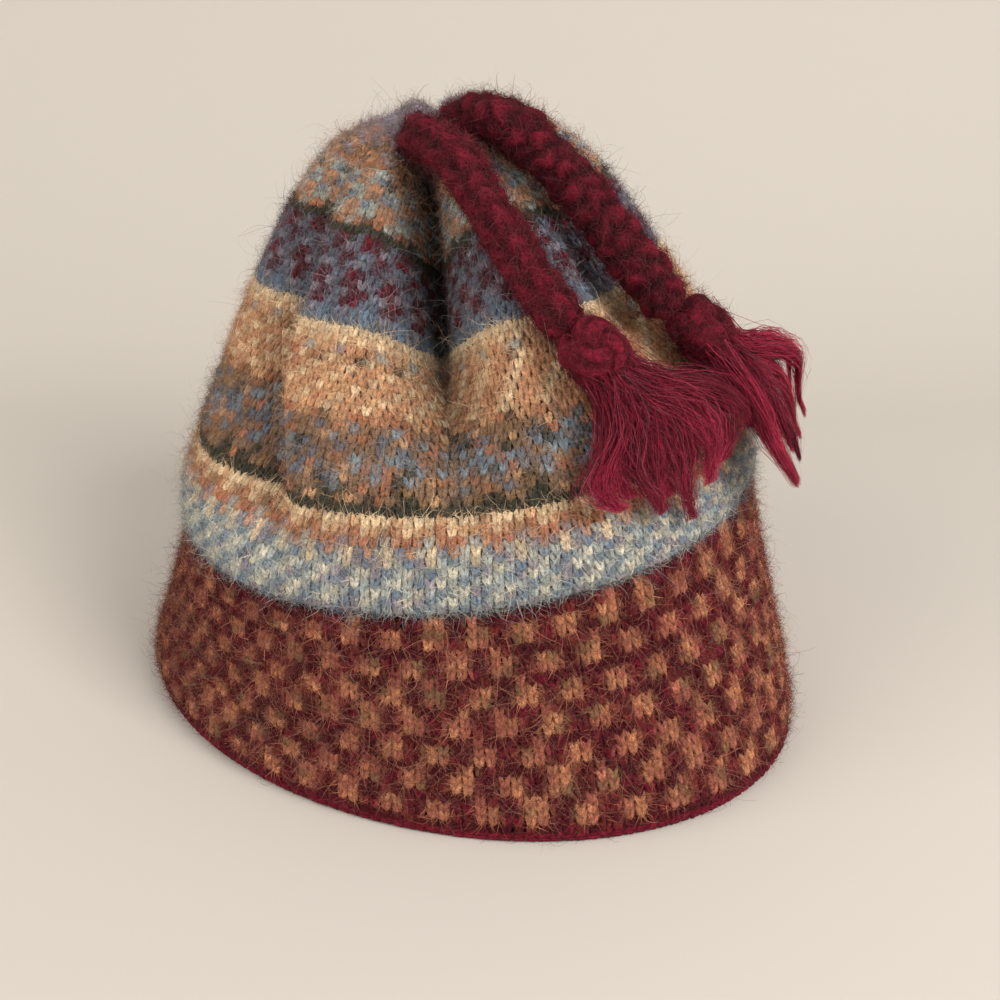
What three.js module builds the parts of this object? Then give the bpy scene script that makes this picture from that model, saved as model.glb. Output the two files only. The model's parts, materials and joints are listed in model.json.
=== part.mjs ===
// A knitted wool hat with a flared cuff, a crown drawn together at the top, and two drawcord
// ends that lie on the crown, each with a knot and a tassel.
// Millimetres, +Z up. The origin is the middle of the rim, which lies in the plane z = 0.
// The hat is an oval: its long way is X, and its front faces -Y.
import * as THREE from 'three';

// Driving dimensions
const CUFF_WALL = 3.0;
const CROWN_WALL = 2.8;
const CREASE_GAP = 0.5;
const PUCKER_DEPTH = 7;
const CLEARANCE = 0.7;
const FRONT_CORD_DIAMETER = 12;
const BACK_CORD_DIAMETER = 14;

// How finely the round forms are divided
const AROUND = 120;
const CUFF_STEPS = 5;
const CROWN_STEPS = 20;
const CORD_SIDES = 10;
const CORD_STEPS = 24;
const TASSEL_SIDES = 16;
const KNOT_SIDES = 16;

// Turns a short table into rows that are read by column name
function table(columns, rows) {
  return rows.map((row) => Object.fromEntries(columns.map((column, i) => [column, row[i]])));
}

// Level sections, from the lowest up. Each is an oval with its middle at (shiftX, shiftY, height).
// tilt and roll are the section's rise for each millimetre of depth and of width.
const SECTION_COLUMNS = ['height', 'halfWidth', 'halfDepth', 'shiftX', 'shiftY', 'tilt', 'roll'];

const CUFF_SECTIONS = table(SECTION_COLUMNS, [
  [0, 108, 84, 0, 0, 0, 0],
  [8, 107.5, 84.5, 0, 0, 0.01, 0.005],
  [24, 101, 83, 0.5, 1, 0.05, 0.015],
  [44, 93, 81.5, 0.5, 2, 0.1, 0.03],
  [64, 86, 79.5, 1, 2.5, 0.142, 0.045],
]);

const CROWN_SECTIONS = table(SECTION_COLUMNS, [
  [64 + CREASE_GAP, 84.5, 78, 1, 2.5, 0.142, 0.045],
  [68, 87.5, 80.5, 0.5, 3, 0.145, 0.045],
  [77, 87, 79, -0.5, 3.5, 0.15, 0.04],
  [90, 82, 73, -1.5, 5, 0.155, 0.03],
  [106, 74, 65, -3.5, 7, 0.165, 0.02],
  [122, 65, 57, -6, 8.5, 0.175, 0.01],
  [137, 55.5, 48, -8, 9.5, 0.185, 0],
  [150, 46, 40, -9.5, 10, 0.2, 0],
  [160, 35.5, 31, -11, 10, 0.22, 0],
  [166.5, 23, 20.5, -13, 9.5, 0.26, 0.02],
  [168, 10, 9, -14.5, 8.5, 0.28, 0.03],
]);

// Folds that the drawcord gathers into the crown. The angle runs from +X towards +Y, and goes from
// its low to its high value as the fold deepens. start and full are shares of the crown's rise.
// depth is a share of the radius, and dip is how far the knitted rows sink into the fold.
const FOLDS = table(
  ['lowAngle', 'highAngle', 'leftHalf', 'rightHalf', 'depth', 'dip', 'start', 'full'],
  [
    [-55, -62, 24, 20, 0.5, 17, 0.22, 0.62],
    [-58, -62, 8, 7, 0.28, 2, 0.42, 0.64],
    [-90, -110, 30, 11, 0.3, 0, 0.14, 0.5],
    [-6, 0, 22, 24, 0.3, 10, 0.35, 0.75],
    [58, 60, 26, 26, 0.32, 8, 0.45, 0.9],
    [115, 118, 26, 26, 0.28, 6, 0.45, 0.9],
    [175, 172, 26, 26, 0.28, 6, 0.45, 0.9],
  ],
);

// Where the cords lie: an angle, and a share of the crown's rise. They bridge the folds.
const ROUTE_COLUMNS = ['angle', 'rise'];

const FRONT_ROUTE = table(ROUTE_COLUMNS, [
  [-84, 0.965],
  [-71, 0.928],
  [-62, 0.895],
  [-56, 0.862],
  [-52, 0.829],
  [-49, 0.797],
  [-46.5, 0.764],
  [-44.5, 0.73],
  [-42.5, 0.697],
  [-40.5, 0.664],
  [-38.5, 0.63],
  [-36.5, 0.595],
  [-34.5, 0.56],
  [-32, 0.525],
  [-29.5, 0.49],
]);

const BACK_ROUTE = table(ROUTE_COLUMNS, [
  [-30, 0.948],
  [-19, 0.928],
  [-20, 0.895],
  [-20.5, 0.863],
  [-20, 0.831],
  [-18.5, 0.8],
  [-17, 0.768],
  [-15.3, 0.735],
  [-13.5, 0.702],
  [-11.5, 0.668],
  [-10, 0.633],
  [-8.5, 0.597],
  [-7, 0.56],
  [-5, 0.523],
  [-2.8, 0.485],
  [-1.3, 0.466],
]);

// Half sizes of each knot: along the cord, across it and away from the crown
const KNOT_COLUMNS = ['along', 'across', 'thick'];
const [FRONT_KNOT, BACK_KNOT] = table(KNOT_COLUMNS, [
  [6.5, 9, 7.5],
  [6.5, 9, 7.5],
]);
const KNOT_LUMP = 0.07;

// Sections of each tassel, from the knot to the tips. lift is added to its own half thickness.
const TASSEL_COLUMNS = ['angle', 'rise', 'halfWidth', 'halfThick', 'lift'];

const FRONT_TASSEL = table(TASSEL_COLUMNS, [
  [-25.1, 0.41, 5, 5, 3],
  [-23.1, 0.385, 9.5, 6.5, 1],
  [-21, 0.354, 14, 6.5, 0],
  [-19.5, 0.32, 16, 5.5, 0],
  [-18.5, 0.284, 16, 4.5, 0],
  [-17.7, 0.252, 12, 3, 0.5],
]);

const BACK_TASSEL = table(TASSEL_COLUMNS, [
  [4.2, 0.383, 5, 5, 3],
  [6.1, 0.357, 7.5, 6, 3],
  [9.1, 0.325, 10, 6, 3.5],
  [11.2, 0.289, 11, 5.5, 4.5],
  [13.4, 0.249, 11, 4.5, 5.5],
  [16.1, 0.207, 8, 3, 6.5],
]);

// Smooth curve through the rows of a table: the value of one column at share t of the whole
function between(rows, column, t) {
  const last = rows.length - 1;
  const place = THREE.MathUtils.clamp(t, 0, 1) * last;
  const i = Math.min(Math.floor(place), last - 1);
  const u = place - i;
  const p1 = rows[i][column];
  const p2 = rows[i + 1][column];
  const p0 = i > 0 ? rows[i - 1][column] : 2 * p1 - p2;
  const p3 = i < last - 1 ? rows[i + 2][column] : 2 * p2 - p1;
  const linear = (p2 - p0) * u;
  const square = (2 * p0 - 5 * p1 + 4 * p2 - p3) * u ** 2;
  const cube = (3 * p1 - p0 - 3 * p2 + p3) * u ** 3;
  return 0.5 * (2 * p1 + linear + square + cube);
}

// How far a fold presses in at an angle and a rise, from 0 to 1
function foldShare(fold, angle, rise) {
  const grown = THREE.MathUtils.smoothstep(rise, fold.start, fold.full);
  const middle = fold.lowAngle + (fold.highAngle - fold.lowAngle) * grown;
  const away = THREE.MathUtils.euclideanModulo(angle - middle + 180, 360) - 180;
  const half = away < 0 ? fold.leftHalf : fold.rightHalf;
  const near = Math.max(0, 1 - Math.abs(away) / half);
  const roundLip = near ** 2 * (3 - 2 * near);
  const sharpFloor = near ** 2;
  return grown * 0.5 * (roundLip + sharpFloor);
}

// A point of a wall's outer face. angle is in degrees, and rise runs from 0 to 1.
function facePoint(sections, folds, angle, rise) {
  const at = (column) => between(sections, column, rise);
  const turn = THREE.MathUtils.degToRad(angle);
  const x = at('halfWidth') * Math.cos(turn);
  const y = at('halfDepth') * Math.sin(turn);
  let pressed = 0;
  let dip = 0;
  for (const fold of folds) {
    const share = foldShare(fold, angle, rise);
    pressed += fold.depth * share;
    dip += fold.dip * share;
  }
  const z = at('height') + y * at('tilt') + x * at('roll') - dip;
  return new THREE.Vector3(x * (1 - pressed) + at('shiftX'), y * (1 - pressed) + at('shiftY'), z);
}

// The outward direction at a point of a wall's outer face
function faceNormal(sections, folds, angle, rise) {
  const turn = 0.5;
  const step = 0.004;
  const before = facePoint(sections, folds, angle - turn, rise);
  const across = facePoint(sections, folds, angle + turn, rise).sub(before);
  const below = facePoint(sections, folds, angle, Math.max(rise - step, 0));
  const up = facePoint(sections, folds, angle, Math.min(rise + step, 1)).sub(below);
  return across.cross(up).normalize();
}

// A closed body through rings of points that all have the same count. The ends are closed by a
// point each, or where none is given, the last ring joins the first.
function ringBody(rings, firstPole, lastPole) {
  const count = rings[0].length;
  const points = rings.flat();
  const triangles = [];
  const joins = firstPole ? rings.length - 1 : rings.length;
  for (let i = 0; i < joins; i += 1) {
    const here = i * count;
    const there = ((i + 1) % rings.length) * count;
    for (let j = 0; j < count; j += 1) {
      const k = (j + 1) % count;
      triangles.push(here + j, here + k, there + k, here + j, there + k, there + j);
    }
  }
  if (firstPole) {
    const first = points.push(firstPole) - 1;
    const last = points.push(lastPole) - 1;
    const end = (rings.length - 1) * count;
    for (let j = 0; j < count; j += 1) {
      const k = (j + 1) % count;
      triangles.push(first, k, j, last, end + j, end + k);
    }
  }
  const geometry = new THREE.BufferGeometry().setFromPoints(points);
  geometry.setIndex(triangles);
  geometry.computeVertexNormals();
  return geometry;
}

// Rings of a wall's outer face, and of its inner face at the wall's thickness behind it.
// The wall's open edges are cut level, so there the inner face is set back level too.
function wallRings(sections, folds, steps, wall, levelShare) {
  const outer = [];
  const inner = [];
  for (let i = 0; i <= steps; i += 1) {
    const rise = i / steps;
    const outerRing = [];
    const innerRing = [];
    for (let j = 0; j < AROUND; j += 1) {
      const angle = (360 * j) / AROUND - 180;
      const point = facePoint(sections, folds, angle, rise);
      const inward = faceNormal(sections, folds, angle, rise).negate();
      inward.z *= THREE.MathUtils.smoothstep(rise, 0, levelShare);
      outerRing.push(point);
      innerRing.push(point.clone().addScaledVector(inward.normalize(), wall));
    }
    outer.push(outerRing);
    inner.push(innerRing);
  }
  return { outer, inner };
}

// The cuff: a flared band, open above and below, flat where its rim rests
function cuffGeometry() {
  const alwaysLevel = 1e6;
  const { outer, inner } = wallRings(CUFF_SECTIONS, [], CUFF_STEPS, CUFF_WALL, alwaysLevel);
  return ringBody([...outer, ...inner.reverse()]);
}

// The crown: a folded dome, open below and drawn shut above in a small pucker
function crownGeometry() {
  const levelShare = 0.1;
  const { outer, inner } = wallRings(CROWN_SECTIONS, FOLDS, CROWN_STEPS, CROWN_WALL, levelShare);
  const last = CROWN_SECTIONS.at(-1);
  const pucker = new THREE.Vector3(last.shiftX, last.shiftY, last.height - PUCKER_DEPTH);
  const under = pucker.clone().setZ(pucker.z - 2 * CROWN_WALL);
  return ringBody([...inner.reverse(), ...outer], under, pucker);
}

// A place on the unfolded crown, lifted off it, with the directions that things lying there follow
function crownPlace(angle, rise, lift) {
  const out = faceNormal(CROWN_SECTIONS, [], angle, rise);
  const point = facePoint(CROWN_SECTIONS, [], angle, rise).addScaledVector(out, lift);
  return { point, out };
}

// The middle line of a cord that lies on the crown
function cordCurve(route, diameter) {
  const lift = diameter / 2 + CLEARANCE;
  const points = route.map(({ angle, rise }) => crownPlace(angle, rise, lift).point);
  return new THREE.CatmullRomCurve3(points, false, 'centripetal');
}

// A round cord along its middle line
function cordGeometry(curve, diameter) {
  const corners = [];
  for (let i = 0; i < CORD_SIDES; i += 1) {
    const turn = (2 * Math.PI * i) / CORD_SIDES;
    corners.push(new THREE.Vector2(Math.cos(turn), Math.sin(turn)).multiplyScalar(diameter / 2));
  }
  const section = new THREE.Shape(corners);
  return new THREE.ExtrudeGeometry(section, { steps: CORD_STEPS, extrudePath: curve });
}

// The frame of a knot at the end of its cord: along the cord, across it and off the crown
function knotFrame(curve, route, size, diameter) {
  const end = route.at(-1);
  const { out } = crownPlace(end.angle, end.rise, 0);
  const along = curve.getTangentAt(1);
  const across = out.clone().cross(along).normalize();
  const away = along.clone().cross(across);
  const middle = curve.getPointAt(1).addScaledVector(along, size.along + CLEARANCE);
  middle.addScaledVector(away, size.thick - diameter / 2 + CLEARANCE);
  return new THREE.Matrix4().makeBasis(along, across, away).setPosition(middle);
}

// An overhand knot's outer form: a flattened ball with the lumps of its turns
function knotGeometry(size, frame) {
  const geometry = new THREE.SphereGeometry(1, KNOT_SIDES, KNOT_SIDES / 2);
  const position = geometry.getAttribute('position');
  const point = new THREE.Vector3();
  for (let i = 0; i < position.count; i += 1) {
    point.fromBufferAttribute(position, i);
    const lump = 1 + KNOT_LUMP * (Math.cos(3 * Math.atan2(point.y, point.x)) - 1) * (1 - point.z ** 2);
    point.multiplyScalar(lump).multiply(new THREE.Vector3(size.along, size.across, size.thick));
    point.applyMatrix4(frame);
    position.setXYZ(i, point.x, point.y, point.z);
  }
  return geometry;
}

// A tassel's outer form: flat oval sections that spread from the knot to the tips
function tasselGeometry(sections) {
  const places = sections.map(({ angle, rise, halfThick, lift }) => {
    return crownPlace(angle, rise, halfThick + lift + CLEARANCE);
  });
  const spine = places.map(({ point }) => point);
  const rings = places.map(({ point, out }, i) => {
    const before = spine[Math.max(i - 1, 0)];
    const after = spine[Math.min(i + 1, spine.length - 1)];
    const along = after.clone().sub(before).normalize();
    const across = out.clone().cross(along).normalize();
    const away = along.clone().cross(across);
    const ring = [];
    for (let j = 0; j < TASSEL_SIDES; j += 1) {
      const turn = (2 * Math.PI * j) / TASSEL_SIDES;
      const corner = point.clone().addScaledVector(across, sections[i].halfWidth * Math.cos(turn));
      ring.push(corner.addScaledVector(away, sections[i].halfThick * Math.sin(turn)));
    }
    return ring;
  });
  const neckLength = 1;
  const tipLength = 3;
  const neck = spine[0].clone().sub(spine[1]).setLength(neckLength).add(spine[0]);
  const tip = spine.at(-1).clone().sub(spine.at(-2)).setLength(tipLength).add(spine.at(-1));
  return ringBody(rings, neck, tip);
}

const WOOL = { roughness: 0.95, metalness: 0 };
const hat = new THREE.Group();

function add(name, geometry, color) {
  const mesh = new THREE.Mesh(geometry, new THREE.MeshStandardMaterial({ color, ...WOOL }));
  mesh.name = name;
  hat.add(mesh);
}

add('cuff', cuffGeometry(), 0x6e3b33);
add('crown', crownGeometry(), 0x98846f);

const CORD_ENDS = [
  ['front', FRONT_ROUTE, FRONT_CORD_DIAMETER, FRONT_KNOT, FRONT_TASSEL],
  ['back', BACK_ROUTE, BACK_CORD_DIAMETER, BACK_KNOT, BACK_TASSEL],
];
for (const [side, route, diameter, knot, tassel] of CORD_ENDS) {
  const curve = cordCurve(route, diameter);
  add(`cord_${side}`, cordGeometry(curve, diameter), 0x641d2b);
  add(`knot_${side}`, knotGeometry(knot, knotFrame(curve, route, knot, diameter)), 0x641d2b);
  add(`tassel_${side}`, tasselGeometry(tassel), 0x701f2d);
}

export default hat;
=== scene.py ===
# %% [markdown]
# # A knitted beanie with a drawn crown
# The hat is one tube of stranded wool knitting. A flared cuff stands at its rim, and a drawcord
# gathers its top into deep folds. This lesson rebuilds its looks over a plain solid model, which
# gives the size and place of every piece. All lengths are metres, unless a name says mm.

import json
import math

import bpy
import numpy as np
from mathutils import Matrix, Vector

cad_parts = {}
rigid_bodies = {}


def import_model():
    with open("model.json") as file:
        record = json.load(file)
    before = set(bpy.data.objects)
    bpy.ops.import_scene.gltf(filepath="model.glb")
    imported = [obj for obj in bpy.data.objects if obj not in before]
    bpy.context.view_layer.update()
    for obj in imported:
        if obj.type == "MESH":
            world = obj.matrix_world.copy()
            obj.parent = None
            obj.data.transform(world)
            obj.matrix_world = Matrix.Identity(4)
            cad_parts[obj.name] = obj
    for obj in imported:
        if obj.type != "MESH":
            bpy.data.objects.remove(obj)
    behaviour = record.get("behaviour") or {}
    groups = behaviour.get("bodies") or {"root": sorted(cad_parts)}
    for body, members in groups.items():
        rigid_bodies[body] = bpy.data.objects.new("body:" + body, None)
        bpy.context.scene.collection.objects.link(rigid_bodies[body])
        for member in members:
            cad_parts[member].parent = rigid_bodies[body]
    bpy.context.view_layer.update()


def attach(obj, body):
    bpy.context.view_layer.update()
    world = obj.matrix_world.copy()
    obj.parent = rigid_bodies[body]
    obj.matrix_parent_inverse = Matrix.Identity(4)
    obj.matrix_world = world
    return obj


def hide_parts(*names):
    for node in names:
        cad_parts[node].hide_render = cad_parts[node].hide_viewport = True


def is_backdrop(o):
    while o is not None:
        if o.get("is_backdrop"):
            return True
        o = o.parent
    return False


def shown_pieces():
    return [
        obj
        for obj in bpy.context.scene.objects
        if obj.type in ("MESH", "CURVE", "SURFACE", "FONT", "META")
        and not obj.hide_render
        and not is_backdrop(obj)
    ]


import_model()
scene = bpy.context.scene

# %% [markdown]
# ## The camera
# The hat is seen from close by, a little above its crease, so the rim bows towards the eye and
# the crown leans back. A near camera with a moderate lens gives that bow, and a far one with a
# long lens would flatten it.

# %% camera
AZIMUTH = math.radians(38)
REACH = 0.3186
EYE_HEIGHT = 0.1865
PITCH = math.radians(22.43)
YAW = math.radians(-2.44)

camera = bpy.data.objects.new("camera", bpy.data.cameras.new("camera"))
scene.collection.objects.link(camera)
camera.location = (REACH * math.sin(AZIMUTH), -REACH * math.cos(AZIMUTH), EYE_HEIGHT)
camera.rotation_euler = (math.pi / 2 - PITCH, 0, AZIMUTH + YAW)
camera.data.lens = 40
camera.data.sensor_width = 36
camera.data.clip_start = 0.01
scene.camera = camera
print("camera at", [round(v, 3) for v in camera.location])

# %% [markdown]
# ## The form
# A hat like this is knitted round and round, so its form is a stack of ovals. Each row of the
# tables is one oval: its height, half width, half depth, the shift of its middle, and how far it
# tilts to the back and rolls to the side. A smooth curve joins the rows. The folds press the
# ovals in, deeper towards the drawn top, and let the knitted rows dip. The tables are in
# millimetres and are those of the solid model, so the looks lie on it with no fitting.

# %% form
MM = 0.001
CUFF = np.array([
    [0, 108, 84, 0, 0, 0, 0],
    [8, 107.5, 84.5, 0, 0, 0.01, 0.005],
    [24, 101, 83, 0.5, 1, 0.05, 0.015],
    [44, 93, 81.5, 0.5, 2, 0.1, 0.03],
    [64, 86, 79.5, 1, 2.5, 0.142, 0.045],
])
CROWN = np.array([
    [64.5, 84.5, 78, 1, 2.5, 0.142, 0.045],
    [68, 87.5, 80.5, 0.5, 3, 0.145, 0.045],
    [77, 87, 79, -0.5, 3.5, 0.15, 0.04],
    [90, 82, 73, -1.5, 5, 0.155, 0.03],
    [106, 74, 65, -3.5, 7, 0.165, 0.02],
    [122, 65, 57, -6, 8.5, 0.175, 0.01],
    [137, 55.5, 48, -8, 9.5, 0.185, 0],
    [150, 46, 40, -9.5, 10, 0.2, 0],
    [160, 35.5, 31, -11, 10, 0.22, 0],
    [166.5, 23, 20.5, -13, 9.5, 0.26, 0.02],
    [168, 10, 9, -14.5, 8.5, 0.28, 0.03],
])
# Angle where a fold starts and ends, its half widths, depth, dip, and the rise it grows over
FOLDS = [
    (-55, -62, 24, 20, 0.5, 17, 0.22, 0.62),
    (-58, -62, 8, 7, 0.28, 2, 0.42, 0.64),
    (-90, -110, 30, 11, 0.3, 0, 0.14, 0.5),
    (-6, 0, 22, 24, 0.3, 10, 0.35, 0.75),
    (58, 60, 26, 26, 0.32, 8, 0.45, 0.9),
    (115, 118, 26, 26, 0.28, 6, 0.45, 0.9),
    (175, 172, 26, 26, 0.28, 6, 0.45, 0.9),
]
print(len(CUFF), "ovals in the cuff,", len(CROWN), "in the crown,", len(FOLDS), "folds")


# %% the face
def smooth(rows, share):
    """Values of a table at a share of its length, on a smooth curve through its rows."""
    last = len(rows) - 1
    place = np.clip(share, 0, 1) * last
    i = np.minimum(place.astype(int), last - 1)
    u = (place - i)[..., None]
    b, c = rows[i], rows[i + 1]
    a = np.where((i > 0)[..., None], rows[np.maximum(i - 1, 0)], 2 * b - c)
    d = np.where((i < last - 1)[..., None], rows[np.minimum(i + 2, last)], 2 * c - b)
    curve = 2 * b + (c - a) * u + (2 * a - 5 * b + 4 * c - d) * u**2
    return 0.5 * (curve + (3 * b - a - 3 * c + d) * u**3)


def ease(low, high, value):
    x = np.clip((value - low) / (high - low), 0, 1)
    return x * x * (3 - 2 * x)


def form(rows, folds, angle, rise):
    """Points of the hat's face in metres, at angles in degrees and shares of the rise."""
    angle, rise = np.broadcast_arrays(np.asarray(angle, float), np.asarray(rise, float))
    height, wide, deep, shift_x, shift_y, tilt, roll = np.moveaxis(smooth(rows, rise), -1, 0)
    kept = np.ones_like(rise)
    dip = np.zeros_like(rise)
    for low, high, left, right, depth, sink, start, full in folds:
        grown = ease(start, full, rise)
        away = (angle - (low + (high - low) * grown) + 180) % 360 - 180
        near = np.maximum(0, 1 - np.abs(away) / np.where(away < 0, left, right))
        pressed = grown * 0.5 * (near**2 * (3 - 2 * near) + near**2)
        kept = kept - depth * pressed
        dip = dip + sink * pressed
    x = wide * np.cos(np.radians(angle))
    y = deep * np.sin(np.radians(angle))
    z = height + y * tilt + x * roll - dip
    return np.stack([x * kept + shift_x, y * kept + shift_y, z], -1) * MM


def unit(vectors):
    return vectors / np.maximum(np.linalg.norm(vectors, axis=-1, keepdims=True), 1e-12)


def axes(rows, folds, angle, rise):
    """Directions round the hat, up its face and out of it."""
    angle, rise = np.broadcast_arrays(np.asarray(angle, float), np.asarray(rise, float))
    low, high = np.maximum(rise - 0.004, 0), np.minimum(rise + 0.004, 1)
    side = unit(form(rows, folds, angle + 0.5, rise) - form(rows, folds, angle - 0.5, rise))
    up = form(rows, folds, angle, high) - form(rows, folds, angle, low)
    out = unit(np.cross(side, up))
    return side, np.cross(out, side), out


print("crown top at", form(CROWN, FOLDS, 90, 0.9).round(4))

# %% [markdown]
# ## Yarn colours
# Stranded knitting carries a few plain dyed yarns round the hat and shows one at each stitch.
# The colours are the yarns' own, as hex values of the screen, and one function turns them into
# the linear values that a renderer adds and multiplies.

# %% colours
YARN = {
    "maroon": "480d17",
    "brick": "742c2a",
    "crimson": "6a1226",
    "rust": "b46e58",
    "copper": "ac7152",
    "ochre": "c58662",
    "amber": "d6976e",
    "olive": "8e6e4e",
    "orange": "c08c69",
    "cream": "e2caa6",
    "linen": "ddd5c0",
    "down": "d9c4b6",
    "tan": "cca179",
    "brown": "8a6e58",
    "blue": "6c8196",
    "grey": "a6ada8",
    "green": "393b31",
    "slate": "67707e",
    "lavender": "8d8690",
    "teal": "80929c",
    "mint": "a3aca5",
    "plum": "4e1c2b",
}


def linear(hexcode):
    value = np.array([int(hexcode[i:i + 2], 16) for i in (0, 2, 4)]) / 255
    return np.where(value <= 0.04045, value / 12.92, ((value + 0.055) / 1.055) ** 2.4)


COLOUR = {name: linear(code) for name, code in YARN.items()}
print(len(COLOUR), "yarns")

# %% [markdown]
# ## Wool
# Wool shines little. Its fibres scatter light at the edge of a strand, which gives a pale, soft
# rim, so the shader has sheen and hardly any gloss. Each strand is a bundle of fibres, so its
# tone runs in fine streaks along it. Every piece carries its yarn's colour as an attribute, and
# one function adds a node with its settings and links.

# %% materials
def node(tree, kind, links=None, **settings):
    """A node of that kind, with its settings and what its inputs take: a value or a socket."""
    made = tree.nodes.new(kind)
    for name, value in settings.items():
        setattr(made, name, value)
    for name, value in (links or {}).items():
        if isinstance(value, bpy.types.NodeSocket):
            tree.links.new(value, made.inputs[name])
        else:
            made.inputs[name].default_value = value
    return made


# %% wool
def plain_wool(name):
    """Wool in the piece's own colours, matt, with the refraction of wool fibre."""
    made = bpy.data.materials.new(name)
    made.use_nodes = True
    tree = made.node_tree
    shader = tree.nodes["Principled BSDF"]
    yarn = node(tree, "ShaderNodeAttribute", attribute_name="yarn")
    tree.links.new(yarn.outputs["Color"], shader.inputs["Base Color"])
    shader.inputs["Roughness"].default_value = 0.9
    shader.inputs["IOR"].default_value = 1.55
    shader.inputs["Specular IOR Level"].default_value = 0.15
    return made, tree, shader, yarn


def wool(name, cloud_mm, relief_mm, streak, sheen, tint, painted_leg_shade=False):
    """Wool with fibre streaks along its map and clouds of tone of that size in millimetres."""
    made, tree, shader, yarn = plain_wool(name)
    place = node(tree, "ShaderNodeTexCoord")
    along = node(tree, "ShaderNodeMapping", {"Vector": place.outputs["UV"], "Scale": streak})
    fibre = node(tree, "ShaderNodeTexNoise", {
        "Vector": along.outputs["Vector"], "Scale": 1.0, "Detail": 3.0, "Roughness": 0.6})
    cloud = node(tree, "ShaderNodeTexNoise", {
        "Vector": place.outputs["Object"], "Scale": 1 / (cloud_mm * MM), "Detail": 2.0})
    both = node(tree, "ShaderNodeMath", {
        0: fibre.outputs["Fac"], 1: cloud.outputs["Fac"]}, operation="ADD")
    tone = node(tree, "ShaderNodeMapRange", {
        "Value": both.outputs[0], "From Min": 0.7, "From Max": 1.3, "To Min": 0.45, "To Max": 1.6})
    tinted = node(tree, "ShaderNodeVectorMath", {
        0: yarn.outputs["Color"], "Scale": tone.outputs["Result"]}, operation="SCALE")
    # Painted shade: the colour is scaled by each leg's shade factor, darker where it turns under.
    if painted_leg_shade:
        ply = node(tree, "ShaderNodeAttribute", attribute_name="ply")
        tinted = node(tree, "ShaderNodeVectorMath", {
            0: tinted.outputs[0], "Scale": ply.outputs["Fac"]}, operation="SCALE")
    bump = node(tree, "ShaderNodeBump", {
        "Height": both.outputs[0], "Strength": 0.6, "Distance": relief_mm * MM})
    tree.links.new(tinted.outputs[0], shader.inputs["Base Color"])
    tree.links.new(bump.outputs["Normal"], shader.inputs["Normal"])
    shader.inputs["Sheen Weight"].default_value = sheen
    shader.inputs["Sheen Roughness"].default_value = 0.5
    shader.inputs["Sheen Tint"].default_value = (*linear(tint), 1)
    return made


# %% the wools of the hat
# Brushed knitting: each leg shows about seven fibre streaks, drawn coarser than real fibres so
# that they show, and painted shade darkens each leg's sides, foot and tip, where it turns under.
CROWN_WOOL = wool("brushed fingering wool", 0.7, 0.6, (2.5, 12, 1), 0.3, "b09a86", painted_leg_shade=True)
CUFF_WOOL = wool("brushed maroon wool", 0.7, 0.6, (2.5, 12, 1), 0.2, "7a3030", painted_leg_shade=True)
# Felted cord: fibres grown together, so the tone is cloudy and the sheen is red and soft.
CORD_WOOL = wool("felted wool cord", 0.9, 0.4, (1, 1, 1), 0.3, "8c2436")
# Loose ends: single plies with streaks along them.
STRAND_WOOL = wool("loose wool ends", 0.65, 0.2, (6, 2, 1), 0.35, "8c3444")
# The back of stranded knitting: long floats lie side by side across it.
BACKING_WOOL = wool("reverse of stranded wool", 1.4, 0.9, (1, 2, 1), 0.2, "8a7668")
# Single fibres are too fine for streaks, so each has one tone from its own attribute.
FIBRE_WOOL = plain_wool("wool fibres")[0]
print("six wools")

# %% [markdown]
# ## Meshes from arrays
# Thousands of small forms are quickest to make as one mesh from arrays of points and faces. The
# helper below also stores the yarn colour of every point and a map of the faces, for the streaks.

# %% mesh helpers
def keep(piece):
    """The piece rides on the hat's one body."""
    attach(piece, "root")
    print(piece.name, sum(len(p.vertices) - 2 for p in piece.data.polygons), "triangles")


def mesh_piece(name, points, faces, colours, material, uv=None):
    mesh = bpy.data.meshes.new(name)
    mesh.from_pydata(points.tolist(), [], faces)
    mesh.polygons.foreach_set("use_smooth", np.ones(len(mesh.polygons), bool))
    store = mesh.attributes.new("yarn", "FLOAT_COLOR", "POINT")
    rgba = np.ones((len(points), 4))
    rgba[:, :3] = colours
    store.data.foreach_set("color", rgba.ravel())
    if uv is not None:
        corner = np.empty(len(mesh.loops), int)
        mesh.loops.foreach_get("vertex_index", corner)
        mesh.uv_layers.new(name="strand").data.foreach_set("uv", uv[corner].ravel())
    mesh.materials.append(material)
    piece = bpy.data.objects.new(name, mesh)
    scene.collection.objects.link(piece)
    return piece


def grid_faces(rows, columns, start=0):
    """Four-sided faces of a tube of rings, the last column joined to the first."""
    i, j = np.meshgrid(np.arange(rows - 1), np.arange(columns), indexing="ij")
    k = (j + 1) % columns
    faces = np.stack([i * columns + j, i * columns + k, (i + 1) * columns + k,
                      (i + 1) * columns + j], -1).reshape(-1, 4) + start
    return faces.tolist()


def closing_faces(last, columns):
    """Faces from the ring that starts at that point back to the first ring."""
    return [[last + j, last + (j + 1) % columns, (j + 1) % columns, j] for j in range(columns)]


def tube_points(path, across, away, radius, turn):
    """Rings of points round a path."""
    return (path[:, None, :] + across[:, None, :] * (radius * np.cos(turn))[..., None]
            + away[:, None, :] * (radius * np.sin(turn))[..., None])


def sampled(points, count):
    """A path's points again, evenly spaced along it."""
    run = np.concatenate([[0], np.cumsum(np.linalg.norm(np.diff(points, axis=0), axis=1))])
    at = np.linspace(0, run[-1], count)
    return np.stack([np.interp(at, run, points[:, k]) for k in range(3)], -1), run[-1]


def tube_axes(path, out):
    """Directions along a path, across it and away from the crown."""
    along = unit(np.gradient(path, axis=0))
    across = unit(np.cross(out, along))
    return along, across, np.cross(along, across)

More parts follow.
